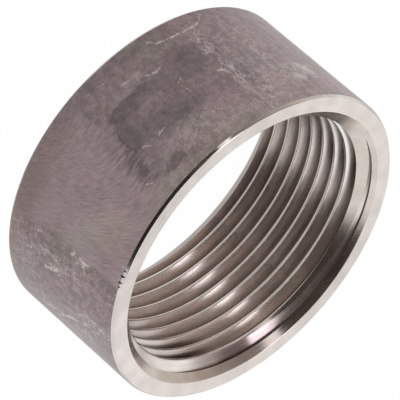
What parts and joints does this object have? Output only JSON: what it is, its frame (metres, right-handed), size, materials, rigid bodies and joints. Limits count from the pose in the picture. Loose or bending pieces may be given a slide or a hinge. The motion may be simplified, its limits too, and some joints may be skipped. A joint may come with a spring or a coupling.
{
  "type": "threaded weld end",
  "caption": "Short thick steel ring with a parallel pipe thread cut right through it and countersunk mouths, welded to a pipe or vessel so that a threaded pipe can be screwed into it.",
  "frame": {"origin": "centre of the lower end face, which is the face to be welded", "axes": "+Z along the ring's axis, out of the upper, threaded mouth; the picture looks from -Y"},
  "size_m": [0.0484, 0.0484, 0.0218],
  "materials": {
    "stainless_steel": "grey mill skin outside, bright machined end face, chamfers and thread"
  },
  "bodies": {
    "root": {"threaded_weld_end": "stainless_steel"}
  },
  "joints": []
}
